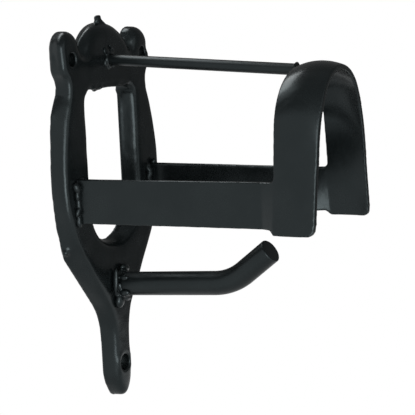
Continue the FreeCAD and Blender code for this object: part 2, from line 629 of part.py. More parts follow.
def armSection(body, name, reach, topX, lowX, wall):
    """Upright section of the right arm's strip at one reach, with its outer X at its top and bottom."""
    size = VALUE
    highDrop, lowDrop = "armTopDrop - cornerFillet", "footDrop"
    corners = [(topX, highDrop), (lowX, lowDrop), (lowX + " - " + wall, lowDrop),
               (topX + " - " + wall, highDrop)]
    outer, inner = size["armEndHalf"], size["armEndHalf"] - size["sheet"]
    high, low = size["cornerFillet"] - size["armTopDrop"], -size["footDrop"]
    guess = [Vector(outer, high, 0), Vector(outer, low, 0), Vector(inner, low, 0), Vector(inner, high, 0)]
    outline = Outline(body, name, reach=reach)
    lines = [outline.line(guess[n], guess[(n + 1) % 4]) for n in range(4)]
    for n in range(4):
        outline.join(lines[n], lines[(n + 1) % 4], smooth=False)
    for line, place, corner in zip(lines, guess, corners):
        outline.across(line[0], 1, corner[0], place.x)
        outline.below(line[0], 1, corner[1], -place.y)
    return outline.sketch


def armOutline(body):
    """Side view of an arm: a strip with a fillet up to the leg's back edge and a chamfer down to its foot."""
    size = VALUE
    corner = size["cornerFillet"]
    top, low = size["armTopDrop"], size["armLowDrop"]
    root, joint = size["plateThickness"], size["backReach"]
    places = [(joint - corner, top), (joint, top - corner), (joint, size["footDrop"]),
              (joint - size["footDrop"] + low, low), (root, low), (root, top)]
    reaches = ["backReach - cornerFillet", "backReach", "backReach", "backReach - footDrop + armLowDrop",
               "plateThickness", "plateThickness"]
    drops = ["armTopDrop", "armTopDrop - cornerFillet", "footDrop", "armLowDrop", "armLowDrop", "armTopDrop"]
    points = [Vector(-distance, -drop, 0) for distance, drop in places]
    outline = Outline(body, "arm_outline", plane="YZ_Plane")
    edges = [outline.arc(Vector(corner - joint, corner - top, 0), corner, 270, 180)]
    edges += [outline.line(points[n], points[(n + 1) % 6]) for n in range(1, 6)]
    for n in range(6):
        outline.join(edges[n], edges[(n + 1) % 6], smooth=False)
    for edge, point, distance, drop in zip(edges, points, reaches, drops):
        outline.left(edge[0], edge[1], distance, -point.x)
        outline.below(edge[0], edge[1], drop, -point.y)
    outline.bind("cornerFillet", "Radius", edges[0][0], corner)
    return outline.sketch


def makeArm():
    """Right arm: the strip bent outwards by the joggle, trimmed to its side view."""
    strip = newBody("arm_strip")
    legX = "(backFoot - (footDrop - armTopDrop + cornerFillet) * tan(backSplay * 1 deg))"
    root = armSection(strip, "arm_root", "plateThickness", "armRootHalf", "armRootHalf", "sheet")
    end = armSection(strip, "arm_end", "backReach - joggle", "armEndHalf", "armEndHalf", "sheet")
    joint = armSection(strip, "arm_joint", "backReach", legX, "backFoot", "sheet / cos(backSplay * 1 deg)")
    bent = strip.newObject("PartDesign::AdditiveLoft", "bent_strip")
    bent.Profile = root
    bent.Sections = [end, joint]
    bent.Ruled = True
    doc.recompute()

    side = newBody("arm_side_view")
    slab = side.newObject("PartDesign::Pad", "side_slab")
    slab.Profile = armOutline(side)
    slab.setExpression("Length", cell("armRootHalf * 2"))
    doc.recompute()

    arm = doc.addObject("Part::Common", "right_arm")
    arm.Base = strip
    arm.Tool = side
    doc.recompute()
    return arm


def makeYoke():
    """One pressing: the crowned arch with its two legs, and an arm running back from each leg."""
    arch = makeArch()
    right = makeArm()
    left = doc.addObject("Part::Mirroring", "left_arm")
    left.Source = right
    left.Normal = Vector(1, 0, 0)
    doc.recompute()
    yoke = doc.addObject("Part::MultiFuse", "saddle_yoke")
    yoke.Shapes = [arch, right, left]
    yoke.Label = "saddle_yoke"
    doc.recompute()
    return yoke


# ---- stay rod and rein hook
def discSection(body, name, reach, drop, diameter):
    """Circle upright at one reach, used as the section of a round bar or of a bead."""
    guess = VALUE["hookDiameter"]
    outline = Outline(body, name, reach=reach)
    disc = outline.circle(Vector(0, -guess, 0), guess / 2)
    outline.rule("PointOnObject", disc[0], 3, -2)
    outline.below(disc[0], 3, drop, guess)
    outline.bind(diameter, "Diameter", disc[0], guess)
    return outline.sketch


def makeRod():
    """Round bar from the plate to the arch's back rim, its ends cut parallel to the wall."""
    body = newBody("stay_rod")
    loft = body.newObject("PartDesign::AdditiveLoft", "bar")
    loft.Profile = discSection(body, "rod_root", "plateThickness", "rodRootDrop", "rodDiameter")
    loft.Sections = [discSection(body, "rod_end", "backReach", "rodEndDrop", "rodDiameter")]
    doc.recompute()
    return body


def makeHook():
    """Round bar swept along a straight, a bend and a short straight tip."""
    size = VALUE
    body = newBody("rein_hook")
    start = Vector(-size["plateThickness"], -size["hookRootDrop"], 0)
    rise = math.radians(size["hookRise"])
    climb = (size["hookBendReach"] - size["plateThickness"]) * math.tan(rise)
    bend = Vector(-size["hookBendReach"], start.y + climb, 0)
    centre = bend + Vector(math.sin(rise), math.cos(rise), 0) * size["hookBendRadius"]
    first = -90 - size["hookRise"]
    last = -90 - size["hookTipAngle"]
    turned = polar(centre, size["hookBendRadius"], last)
    run = size["hookTipReach"] + turned.x
    tip = turned + Vector(-run, run * math.tan(math.radians(size["hookTipAngle"])), 0)
    outline = Outline(body, "hook_path", plane="YZ_Plane")
    straight = outline.line(start, bend)
    bendArc = outline.arc(centre, size["hookBendRadius"], first, last)
    tipLine = outline.line(turned, tip)
    outline.join(straight, bendArc)
    outline.join(bendArc, tipLine)
    outline.left(straight[0], 1, "plateThickness", size["plateThickness"])
    outline.below(straight[0], 1, "hookRootDrop", size["hookRootDrop"])
    outline.left(straight[0], 2, "hookBendReach", size["hookBendReach"])
    outline.left(tipLine[0], 2, "hookTipReach", size["hookTipReach"])
    outline.bind("180 - hookRise", "Angle", straight[0], math.pi - rise)
    outline.bind("180 - hookTipAngle", "Angle", tipLine[0], math.pi - math.radians(size["hookTipAngle"]))
    outline.bind("hookBendRadius", "Radius", bendArc[0], size["hookBendRadius"])
    pipe = body.newObject("PartDesign::AdditivePipe", "bent_bar")
    pipe.Profile = discSection(body, "hook_root", "plateThickness", "hookRootDrop", "hookDiameter")
    pipe.Spine = (outline.sketch, ["Edge1", "Edge2", "Edge3"])
    doc.recompute()

    def endEdge(edge):
        box = edge.BoundBox
        beyondBend = box.YMax < -size["hookBendReach"] - size["hookBendRadius"] / 2
        return beyondBend and isinstance(edge.Curve, Part.Circle) and box.YMin < -size["hookTipReach"]
    roundEdges(body, "cut_end", pipe, edgesWhere(pipe.Shape, endEdge), "hookEndRounding")
    return body


# ---- weld beads
def makeRingBead(name, tool, near, nearDrop, nearDiameter, far, farDrop, farDiameter):
    """Bead round a bar: a tapered collar with the bar itself cut out of it."""
    body = newBody(name + "_blank")
    loft = body.newObject("PartDesign::AdditiveLoft", name + "_collar")
    loft.Profile = discSection(body, name + "_near", near, nearDrop, nearDiameter)
    loft.Sections = [discSection(body, name + "_far", far, farDrop, farDiameter)]
    doc.recompute()
    cut = doc.addObject("Part::Cut", name)
    cut.Base = body
    cut.Tool = tool
    cut.Label = name
    doc.recompute()
    return cut


def makeArmBead(name, side, outside):
    """Bead down one face of an arm's root: a three-sided bar against the plate and the arm."""
    size = VALUE
    body = newBody(name)
    lean = "(armRootHalf - armEndHalf) / (backReach - joggle - plateThickness)"
    run = size["backReach"] - size["joggle"] - size["plateThickness"]
    slope = (size["armRootHalf"] - size["armEndHalf"]) / run
    face = "armRootHalf" if outside else "(armRootHalf - sheet)"
    faceX = size["armRootHalf"] if outside else size["armRootHalf"] - size["sheet"]
    away = 1 if outside else -1
    bead = size["armBead"]
    near = size["plateThickness"]
    points = [Vector(side * faceX, -near, 0), Vector(side * (faceX + away * bead), -near, 0),
              Vector(side * (faceX - slope * bead), -near - bead, 0)]
    xs = [face, face + (" + " if outside else " - ") + "armBead", face + " - armBead * " + lean]
    ys = ["plateThickness", "plateThickness", "plateThickness + armBead"]
    outline = Outline(body, name + "_section", plane="XY_Plane")
    outline.sketch.setExpression(".AttachmentOffset.Base.z", cell("-armLowDrop"))
    lines = [outline.line(points[n], points[(n + 1) % 3]) for n in range(3)]
    for n in range(3):
        outline.join(lines[n], lines[(n + 1) % 3], smooth=False)
    put = outline.across if side > 0 else outline.left
    for line, place, x, y in zip(lines, points, xs, ys):
        put(line[0], 1, x, abs(place.x))
        outline.below(line[0], 1, y, -place.y)
    pad = body.newObject("PartDesign::Pad", name + "_bar")
    pad.Profile = outline.sketch
    pad.setExpression("Length", cell("armHeight"))
    doc.recompute()
    return body


plate = makePlate()
yoke = makeYoke()
rod = makeRod()
hook = makeHook()
rodFall = "(rodEndDrop - rodRootDrop) / (backReach - plateThickness)"
pieces = [plate, yoke, rod, hook]
for sideName, sideSign in (("right", 1), ("left", -1)):
    pieces.append(makeArmBead(sideName + "_arm_outer_weld", sideSign, True))
    pieces.append(makeArmBead(sideName + "_arm_inner_weld", sideSign, False))
pieces.append(makeRingBead("rod_plate_weld", rod, "plateThickness", "rodRootDrop",
                           "rodDiameter + 2 * rodBead", "plateThickness + rodBead",
                           "rodRootDrop + rodBead * " + rodFall,
                           "rodDiameter + 2 * beadToe"))
pieces.append(makeRingBead("rod_arch_weld", rod, "backReach", "rodEndDrop", "rodDiameter + 2 * rodEndBead",
                           "backReach - rodEndBead", "rodEndDrop - rodEndBead * " + rodFall,
                           "rodDiameter + 2 * beadToe"))
pieces.append(makeRingBead("hook_plate_weld", hook, "plateThickness", "hookRootDrop",
                           "hookDiameter + 2 * hookBead", "plateThickness + hookBead",
                           "hookRootDrop - hookBead * tan(hookRise * 1 deg)", "hookDiameter + 2 * beadToe"))
doc.recompute()

for item in doc.Objects:
    if "Invalid" in item.State or "Error" in item.State:
        raise RuntimeError("failed: " + item.Label + " " + str(item.State))
os.makedirs("parts", exist_ok=True)
for piece in pieces:
    shape = piece.Shape
    if shape.isNull() or not shape.isValid() or len(shape.Solids) != 1:
        raise RuntimeError("bad shape: " + piece.Label)
    shape.exportStep("parts/" + piece.Label + ".step")
    box = shape.BoundBox
    print("%-22s %9.1f mm3  X %.1f..%.1f  Y %.1f..%.1f  Z %.1f..%.1f"
          % (piece.Label, shape.Volume, box.XMin, box.XMax, box.YMin, box.YMax, box.ZMin, box.ZMax))
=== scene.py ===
import math
import random
import bpy
from mathutils import Matrix, Vector


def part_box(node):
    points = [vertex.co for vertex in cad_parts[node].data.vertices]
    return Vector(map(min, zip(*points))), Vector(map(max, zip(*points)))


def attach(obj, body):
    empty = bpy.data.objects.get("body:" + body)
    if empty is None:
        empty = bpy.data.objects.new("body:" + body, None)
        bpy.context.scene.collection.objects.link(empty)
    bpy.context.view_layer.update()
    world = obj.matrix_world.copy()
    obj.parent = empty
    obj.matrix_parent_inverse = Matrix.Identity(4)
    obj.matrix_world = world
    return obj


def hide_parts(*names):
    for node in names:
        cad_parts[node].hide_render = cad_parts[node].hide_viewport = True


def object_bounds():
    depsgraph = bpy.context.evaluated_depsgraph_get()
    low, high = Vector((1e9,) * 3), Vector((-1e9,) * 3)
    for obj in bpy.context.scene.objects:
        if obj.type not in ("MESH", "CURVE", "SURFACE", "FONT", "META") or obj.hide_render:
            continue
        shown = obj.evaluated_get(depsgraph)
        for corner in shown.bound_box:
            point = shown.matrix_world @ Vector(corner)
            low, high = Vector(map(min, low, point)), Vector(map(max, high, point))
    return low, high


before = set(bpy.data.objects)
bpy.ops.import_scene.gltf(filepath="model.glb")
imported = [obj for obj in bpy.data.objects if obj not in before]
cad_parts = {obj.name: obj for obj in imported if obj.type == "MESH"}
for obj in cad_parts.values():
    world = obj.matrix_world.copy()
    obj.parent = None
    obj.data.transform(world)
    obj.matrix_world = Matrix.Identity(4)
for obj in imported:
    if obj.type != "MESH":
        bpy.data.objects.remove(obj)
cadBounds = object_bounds()
mm = 0.001
mergeGap = 0.002  # points of a copied node nearer than this become one
lumpSegments, lumpRings = 24, 14
smoothing = 0.5
waveMiddle = 0.62  # above half, so the waves cut in a little more than they stand out
print("frame loaded:", ", ".join(sorted(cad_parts)))


# modelling helpers
def deselectAll():
    for item in bpy.context.selected_objects:
        item.select_set(False)


def makeActive(piece):
    deselectAll()
    piece.select_set(True)
    bpy.context.view_layer.objects.active = piece


def applyModifier(piece, kind, **settings):
    makeActive(piece)
    modifier = piece.modifiers.new(kind.lower(), kind)
    for name, value in settings.items():
        setattr(modifier, name, value)
    bpy.ops.object.modifier_apply(modifier=modifier.name)


def copyOfNode(node, name):
    piece = bpy.data.objects.new(name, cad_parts[node].data.copy())
    bpy.context.scene.collection.objects.link(piece)
    makeActive(piece)
    bpy.ops.object.mode_set(mode="EDIT")
    bpy.ops.mesh.select_all(action="SELECT")
    bpy.ops.mesh.remove_doubles(threshold=mergeGap * mm)
    bpy.ops.object.mode_set(mode="OBJECT")
    if piece.data.has_custom_normals:
        bpy.ops.mesh.customdata_custom_splitnormals_clear()
    piece.data.materials.clear()
    return piece


def addLump(centre, size, tilt=(0, 0, 0)):
    deselectAll()
    bpy.ops.mesh.primitive_uv_sphere_add(segments=lumpSegments, ring_count=lumpRings, radius=mm,
                                         rotation=tilt, location=[mm * value for value in centre])
    lump = bpy.context.active_object
    lump.scale = size
    bpy.ops.object.transform_apply(location=True, rotation=True, scale=True)
    return lump


def joinPieces(pieces, name):
    makeActive(pieces[0])
    for piece in pieces:
        piece.select_set(True)
    bpy.ops.object.join()
    joined = bpy.context.active_object
    joined.name = name
    joined.data.name = name
    return joined


def softenSkin(piece, voxel, rounds):
    applyModifier(piece, "REMESH", mode="VOXEL", voxel_size=voxel * mm, use_smooth_shade=True)
    applyModifier(piece, "SMOOTH", factor=smoothing, iterations=rounds)


def addWaves(piece, size, depth, flatBehind=None):
    clouds = bpy.data.textures.new(piece.name + "Waves", "CLOUDS")
    clouds.noise_scale = size * mm
    clouds.noise_depth = 1
    group = ""
    if flatBehind is not None:
        group = piece.vertex_groups.new(name="front").name
        for vertex in piece.data.vertices:
            weight = min(1, max(0, (-vertex.co.y / mm - flatBehind) / flatBehind))
            piece.vertex_groups["front"].add([vertex.index], weight, "REPLACE")
    applyModifier(piece, "DISPLACE", texture=clouds, texture_coords="LOCAL", strength=depth * mm,
                  mid_level=waveMiddle, vertex_group=group)


# every new piece stands for one CAD node and takes the coat of its slot
def finishPiece(piece, slotName, node):
    piece.data.materials.clear()
    piece.data.materials.append(coats[slotName])
    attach(piece, "root")
    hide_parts(node)
    print("made", piece.name, len(piece.data.polygons), "faces")


# shader maths written as expressions on sockets
class Wire:
    def __init__(self, tree, socket):
        self.tree = tree
        self.socket = socket

    def node(self, kind, settings=None, **links):
        made = self.tree.nodes.new(kind)
        for name, value in (settings or {}).items():
            setattr(made, name, value)
        for name, value in links.items():
            key = int(name[1:]) if name[0] == "_" else name.replace("_", " ")
            if isinstance(value, Wire):
                self.tree.links.new(value.socket, made.inputs[key])
            else:
                made.inputs[key].default_value = value
        return made

    def math(self, operation, first, second=0.0):
        made = self.node("ShaderNodeMath", {"operation": operation}, _0=first, _1=second)
        return Wire(self.tree, made.outputs[0])

    def __add__(self, other):
        return self.math("ADD", self, other)

    def __radd__(self, other):
        return self.math("ADD", other, self)

    def __sub__(self, other):
        return self.math("SUBTRACT", self, other)

    def __rsub__(self, other):
        return self.math("SUBTRACT", other, self)

    def __mul__(self, other):
        return self.math("MULTIPLY", self, other)

    def __rmul__(self, other):
        return self.math("MULTIPLY", other, self)

    def clamp(self, low, high):
        made = self.node("ShaderNodeMapRange", {"interpolation_type": "SMOOTHSTEP"}, Value=self,
                         From_Min=low, From_Max=high)
        return Wire(self.tree, made.outputs["Result"])

    def noise(self, scale, detail, roughness):
        made = self.node("ShaderNodeTexNoise", None, Vector=self, Scale=scale, Detail=detail,
                         Roughness=roughness)
        return Wire(self.tree, made.outputs["Fac"])

    def blend(self, first, second):
        made = self.node("ShaderNodeMix", {"data_type": "RGBA"}, Factor=self, _6=first, _7=second)
        return Wire(self.tree, made.outputs[2])


def newMaterial(name):
    material = bpy.data.materials.new(name)
    material.use_nodes = True
    tree = material.node_tree
    tree.nodes.clear()
    output = tree.nodes.new("ShaderNodeOutputMaterial")
    start = Wire(tree, None)
    place = Wire(tree, start.node("ShaderNodeTexCoord").outputs["Object"])
    return material, tree, output, place


# the powder coat: black with a faint mottle, orange peel and a fine grain
coatLook = {
    "deep": (0.0022, 0.0032, 0.0034, 1),
    "pale": (0.0052, 0.0066, 0.0070, 1),
    "roughness": 0.25,
    "specular": 0.31,
    "tint": (0.80, 0.96, 1.0, 1),
    "mottle": (42, 4, 0.55),  # scale, detail and roughness of each noise
    "pebble": (620, 2, 0.45),
    "grain": (2400, 2, 0.6),
    "wave": (2, 0.4),  # its scale comes from the piece
    "mottleRange": (0.32, 0.72),
    "grainRange": (0.35, 0.75),
    "mottleColour": 0.8,
    "grainColour": 0.2,
    "mottleRough": 0.16,
    "pebbleRough": 0.10,
    "grainDepth": 0.18,  # as a share of the pebbles' depth
}


# waves, waveSize and pebbleDepth are in millimetres
def powderCoat(name, waves, waveSize, pebbleDepth, duller=0.0):
    look = coatLook
    material, tree, output, place = newMaterial(name)
    mottle = place.noise(*look["mottle"])
    pebble = place.noise(*look["pebble"])
    grain = place.noise(*look["grain"])
    wave = place.noise(1 / (waveSize * mm), *look["wave"])
    mottled = mottle.clamp(*look["mottleRange"]) * look["mottleColour"]
    grained = grain.clamp(*look["grainRange"]) * look["grainColour"]
    colour = (mottled + grained).blend(look["deep"], look["pale"])
    rough = look["roughness"] + duller + (mottle - 0.5) * look["mottleRough"]
    rough = rough + (pebble - 0.5) * look["pebbleRough"]
    height = wave * waves + pebble * pebbleDepth + grain * (pebbleDepth * look["grainDepth"])
    bump = place.node("ShaderNodeBump", None, Strength=1.0, Distance=mm, Height=height)
    shader = place.node("ShaderNodeBsdfPrincipled", None, Base_Color=colour, Roughness=rough,
                        Specular_IOR_Level=look["specular"], Specular_Tint=look["tint"],
                        Normal=Wire(tree, bump.outputs["Normal"]))
    tree.links.new(shader.outputs[0], output.inputs["Surface"])
    return material


coats = {
    "coated_casting": powderCoat("castingCoat", waves=0.22, waveSize=9, pebbleDepth=0.018),
    "coated_sheet": powderCoat("sheetCoat", waves=0.06, waveSize=16, pebbleDepth=0.012),
    "coated_bar": powderCoat("barCoat", waves=0.05, waveSize=12, pebbleDepth=0.012, duller=0.11),
    "coated_weld": powderCoat("weldCoat", waves=0.16, waveSize=3, pebbleDepth=0.014),
}
print("materials ready")

# cast back plate: the casting's skin, with its pimples and the drips of coat along the window;
# millimetres, and a drop is measured down from the middle of the ear holes
plate = {
    "voxel": 0.72,
    "rounds": 8,
    "waveSize": 15,
    "waveDepth": 0.45,
    "flatBehind": 1.6,
    "nub": [((-42.3, -9.6, -46.0), (0.8, 0.7, 0.8)), ((-45.4, -3.0, 1.5), (1.5, 2.4, 3.4))],
    "edgeNub": {"drop": 109, "size": (2.4, 2.2, 2.3), "near": 4, "proud": 0.9, "depth": -3.6},
    "nib": [((-1.6, -5.3, 20.6), (2.9, 1.9, 1.5)), ((-1.7, -5.0, 22.4), (2.3, 2.0, 1.65)),
            ((-0.5, -5.2, 21.3), (2.0, 1.7, 1.5)), ((0.9, -5.5, 20.0), (2.1, 1.8, 1.4)),
            ((2.6, -5.7, 19.2), (1.9, 1.6, 0.9))],
    "drip": [((-14.5, -8.6, -18.5), (1.2, 1.4, 1.4)), ((-12.8, -8.8, -18.1), (2.0, 1.4, 1.1))],
    "wall": {
        "behind": -3.2,  # what lies behind this moves
        "band": 4,  # the walls are moved in bands this tall
        "bands": (4, 49),
        "edgeShare": 0.74,  # past this share of the half width is the outer wall
        "leastHalf": 7.5,  # nearer the middle than this is the tail hole's edge, not the wall
        "flare": 2.6,  # how far the back of the outer wall stands out past its front
        "tailFlare": 1.4,
        "tailFrom": 130,
        "tailOver": 20,
        "swell": 3.9,  # more of it where the flank runs in to the tail
        "swellDrop": 119,
        "swellReach": 13,
        "easeIn": 4,  # bands that the flare takes to reach its full size
        "tipDrop": 200,
        "tipOver": 16,
        "roomShare": 0.62,  # of the room left to the CAD box
        "boxGap": 0.2,
        "windowFlare": 2.7,
        "windowSide": (2, 28),
        "windowTop": 20,
        "windowTurn": 92,
        "windowFoot": 113,
        "sillRise": 2.4,
    },
    "head": {
        "front": -3.9,
        "earFrom": 29,
        "earFoot": -9,
        "earBack": 1,
        "holeAcross": 38,
        "holeRoom": 5.6,
        "earTaller": 1.10,
        "earWider": 1.025,
        "earSteps": (-9, -5, -1, 3),
        "domeTo": 27,
        "domeFoot": 2,
        "domeWider": 1.16,
    },
    "rim": {
        "rounds": 80,
        "back": -2.5,  # what lies behind this keeps its edges
        "tailHoleDrop": 182.5,
        "holeRoom": 7.5,
        "headDrop": 20,
        "lowDrop": 92,
        "outside": 19,
        "outerShare": 0.75,
        "innerShare": 0.25,
        "lowOver": 60,
    },
    "lip": {  # lumps of coat along the top edge of the window
        "count": 10,
        "seed": 11,
        "half": 16.5,
        "drop": 17.3,
        "reach": 9.3,
        "acrossJitter": (-1.0, 1.0),
        "dropJitter": (-0.5, 0.3),
        "reachJitter": (-0.4, 0.2),
        "wide": (3.2, 5.2),
        "thick": (1.3, 1.6),
        "tall": (0.9, 1.4),
    },
}


def pickPoints(piece, chosen):
    makeActive(piece)
    bpy.ops.object.mode_set(mode="EDIT")
    bpy.ops.mesh.select_all(action="DESELECT")
    bpy.ops.object.mode_set(mode="OBJECT")
    picked = 0
    for vertex in piece.data.vertices:
        vertex.select = chosen(*(value / mm for value in vertex.co))
        picked += vertex.select
    bpy.ops.object.mode_set(mode="EDIT")
    return picked


def moveBackEdge(piece, chosen, shift):
    if pickPoints(piece, chosen):
        bpy.ops.transform.translate(value=[mm * value for value in shift])
    bpy.ops.object.mode_set(mode="OBJECT")


def swellPart(piece, chosen, factors, pivot):
    if pickPoints(piece, chosen):
        bpy.ops.transform.resize(value=factors, center_override=[mm * value for value in pivot])
    bpy.ops.object.mode_set(mode="OBJECT")


def sweepUp(value, low, span):
    return min(1, max(0, (value - low) / span))


# the coat fills the head out: ears taller, their fronts and the dome's front fuller
def fillHead(piece):
    head = plate["head"]

    def onEar(side, foot, front):
        def chosen(x, y, z):
            clear = math.hypot(x * side - head["holeAcross"], z) > head["holeRoom"]
            return x * side > head["earFrom"] and z > foot and y < front and clear
        return chosen

    def domeFront(x, y, z):
        return y < head["front"] and abs(x) < head["domeTo"] and z > head["domeFoot"]
    for side in (-1, 1):
        pivot = (side * head["earFrom"], 0, head["earFoot"])
        whole = onEar(side, head["earFoot"], head["earBack"])
        swellPart(piece, whole, (1, 1, head["earTaller"]), pivot)
        for foot in head["earSteps"]:
            swellPart(piece, onEar(side, foot, head["front"]), (head["earWider"], 1, 1), pivot)
    swellPart(piece, domeFront, (head["domeWider"], 1, 1), (0, 0, head["domeFoot"]))


# the casting's walls slope: the outer one stands out at the back, the window's closes in
def wallFlare(key, widest):
    wall = plate["wall"]
    drop = (key + 0.5) * wall["band"]
    low = sweepUp(drop, wall["tailFrom"], wall["tailOver"])
    out = wall["flare"] + (wall["tailFlare"] - wall["flare"]) * low
    out += wall["swell"] * math.exp(-((drop - wall["swellDrop"]) / wall["swellReach"]) ** 2)
    started = min(1, (key - wall["bands"][0] + 1) / wall["easeIn"])
    out *= started * sweepUp(-drop, -wall["tipDrop"], wall["tipOver"])
    return max(0, min(out, wall["roomShare"] * (cadBounds[1][0] / mm - wall["boxGap"] - widest)))


def slopeWalls(piece):
    wall = plate["wall"]
    half = {}
    for vertex in piece.data.vertices:
        key = int(-vertex.co.z / mm // wall["band"])
        half[key] = max(half.get(key, 0), abs(vertex.co.x / mm))
    bpy.context.tool_settings.mesh_select_mode = (True, False, False)

    def outerWall(side, key, limit):
        def chosen(x, y, z):
            return int(-z // wall["band"]) == key and y > wall["behind"] and x * side > limit
        return chosen

    def windowWall(side, top, bottom):
        near, far = wall["windowSide"]

        def chosen(x, y, z):
            return y > wall["behind"] and near < x * side < far and top < -z < bottom
        return chosen
    for key in range(*wall["bands"]):
        if half.get(key, 0) < wall["leastHalf"]:
            continue
        out = wallFlare(key, max(half.get(near, 0) for near in (key - 1, key, key + 1)))
        limit = wall["edgeShare"] * half[key]
        for side in (-1, 1):
            moveBackEdge(piece, outerWall(side, key, limit), (side * out, 0, 0))
    for side in (-1, 1):
        inward = -side * wall["windowFlare"]
        moveBackEdge(piece, windowWall(side, wall["windowTop"], wall["windowTurn"]), (inward, 0, 0))
        moveBackEdge(piece, windowWall(side, wall["windowTurn"], wall["windowFoot"]),
                     (inward, 0, wall["sillRise"]))


# how much of the extra softening each place gets; the back, the tail hole and the head get none
def rimShare(x, y, z):
    rim = plate["rim"]
    if y > rim["back"] or math.hypot(x, z + rim["tailHoleDrop"]) < rim["holeRoom"]:
        return 0
    if z > -rim["headDrop"]:
        return 0
    if z > -rim["lowDrop"]:
        return rim["outerShare"] if abs(x) > rim["outside"] else rim["innerShare"]
    return min(1, rim["outerShare"] + (-z - rim["lowDrop"]) / rim["lowOver"])


def softenRim(piece):
    group = piece.vertex_groups.new(name="rim")
    for vertex in piece.data.vertices:
        group.add([vertex.index], rimShare(*(value / mm for value in vertex.co)), "REPLACE")
    applyModifier(piece, "SMOOTH", factor=smoothing, iterations=plate["rim"]["rounds"],
                  vertex_group="rim")


def makePlate():
    lip = plate["lip"]
    rng = random.Random(lip["seed"])
    skin = [copyOfNode("back_plate", "plateCasting")]
    slopeWalls(skin[0])
    fillHead(skin[0])
    nub = plate["edgeNub"]
    edge = min(vertex.co.x for vertex in skin[0].data.vertices
               if abs(vertex.co.z / mm + nub["drop"]) < nub["near"]) / mm
    skin.append(addLump((edge + nub["proud"], nub["depth"], -nub["drop"]), nub["size"]))
    for centre, size in plate["nub"] + plate["nib"] + plate["drip"]:
        skin.append(addLump(centre, size))
    for step in range(lip["count"]):
        share = step / (lip["count"] - 1) * 2 - 1
        across = share * lip["half"] + rng.uniform(*lip["acrossJitter"])
        low = lip["drop"] + rng.uniform(*lip["dropJitter"])
        reach = lip["reach"] + rng.uniform(*lip["reachJitter"])
        size = [rng.uniform(*lip[measure]) for measure in ("wide", "thick", "tall")]
        skin.append(addLump((across, -reach, -low), size))
    piece = joinPieces(skin, "plateCasting")
    softenSkin(piece, plate["voxel"], plate["rounds"])
    softenRim(piece)
    addWaves(piece, plate["waveSize"], plate["waveDepth"], plate["flatBehind"])
    finishPiece(piece, "coated_casting", "back_plate")


makePlate()

# pressed yoke: arch, legs and arms in one sheet with its edges softened by the coat
yoke = {"voxel": 0.62, "rounds": 3, "waveSize": 30, "waveDepth": 0.16}


def makeYoke():
    piece = copyOfNode("saddle_yoke", "saddleYoke")
    softenSkin(piece, yoke["voxel"], yoke["rounds"])
    addWaves(piece, yoke["waveSize"], yoke["waveDepth"])
    finishPiece(piece, "coated_sheet", "saddle_yoke")


makeYoke()

# weld beads: overlapping lumps, melted into one skin
bead = {"voxel": 0.32, "rounds": 3}


def millimetres(node):
    return [[value / mm for value in corner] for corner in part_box(node)]


def makeBead(name, node, lumps, rounds=bead["rounds"]):
    pieces = [addLump(centre, size, tilt) for centre, size, tilt in lumps]
    piece = joinPieces(pieces, name)
    softenSkin(piece, bead["voxel"], rounds)
    finishPiece(piece, "coated_weld", node)


# shares are of the bead's leg, its reach from the plate; a spine runs the whole height of each
armBead = {
    "thin": 0.42,
    "thick": 0.95,
    "step": 2.5,
    "stepJitter": (0.6, 1.2),
    "gap": 0.22,  # chance that a lump is left out
    "spine": 0.50,
    "spineIn": 0.2,
    "footRoom": 1.0,
    "topRoom": 0.8,
    "outward": (0.15, 0.45),
    "forward": (0.1, 0.4),
    "lean": (-0.5, 0.5),
    "turn": (-0.6, 0.6),
    "wide": 0.85,
    "deep": 0.75,
    "tall": (0.9, 1.9),
}


def armLumps(node, away):
    look = armBead
    low, high = millimetres(node)
    leg = high[1] - low[1]
    foot = low[0] if away > 0 else high[0]
    rng = random.Random(node)
    spine = leg * look["spine"]
    middle = (foot + away * look["spineIn"] * leg, high[1] - look["spineIn"] * leg,
              (low[2] + high[2]) / 2)
    lumps = [(middle, (spine, spine, (high[2] - low[2]) / 2), (0, 0, 0))]
    height = low[2] + look["footRoom"]
    while height < high[2] - look["topRoom"]:
        size = leg * rng.uniform(look["thin"], look["thick"])
        across = foot + away * rng.uniform(*look["outward"]) * leg
        centre = (across, high[1] - rng.uniform(*look["forward"]) * leg, height)
        if rng.random() > look["gap"]:
            tilt = (rng.uniform(*look["lean"]), rng.uniform(*look["turn"]), 0)
            sizes = (size * look["wide"], size * look["deep"], size * rng.uniform(*look["tall"]))
            lumps.append((centre, sizes, tilt))
        height += look["step"] * rng.uniform(*look["stepJitter"])
    return lumps


def makeArmBeads():
    for sideName, side in (("right", 1), ("left", -1)):
        for face, away in (("outer", side), ("inner", -side)):
            node = "%s_arm_%s_weld" % (sideName, face)
            makeBead(sideName + "Arm" + face.title() + "Weld", node, armLumps(node, away))


makeArmBeads()


# lumps set in a ring; lift is how far the ring stands off the node's back
ringLook = {"turnJitter": (-0.3, 0.3), "outward": (0.1, 0.4), "forward": (0, 0.4), "wide": 0.8}


def ringLumps(node, ring):
    low, high = millimetres(node)
    across, height = (low[0] + high[0]) / 2, (low[2] + high[2]) / 2
    foot = high[1] - ring["lift"]
    rng = random.Random(ring["seed"])
    lumps = []
    for step in range(ring["count"]):
        turn = 2 * math.pi * (step + rng.uniform(*ringLook["turnJitter"])) / ring["count"]
        size = ring["leg"] * rng.uniform(ring["thin"], ring["thick"])
        radius = ring["radius"] + size * rng.uniform(*ringLook["outward"])
        centre = (across + math.cos(turn) * radius, foot - rng.uniform(*ringLook["forward"]) * size,
                  height + math.sin(turn) * radius)
        wide = size * ringLook["wide"]
        lumps.append((centre, (wide, wide, size * ring["stretch"]), (0, -turn, 0)))
    return lumps


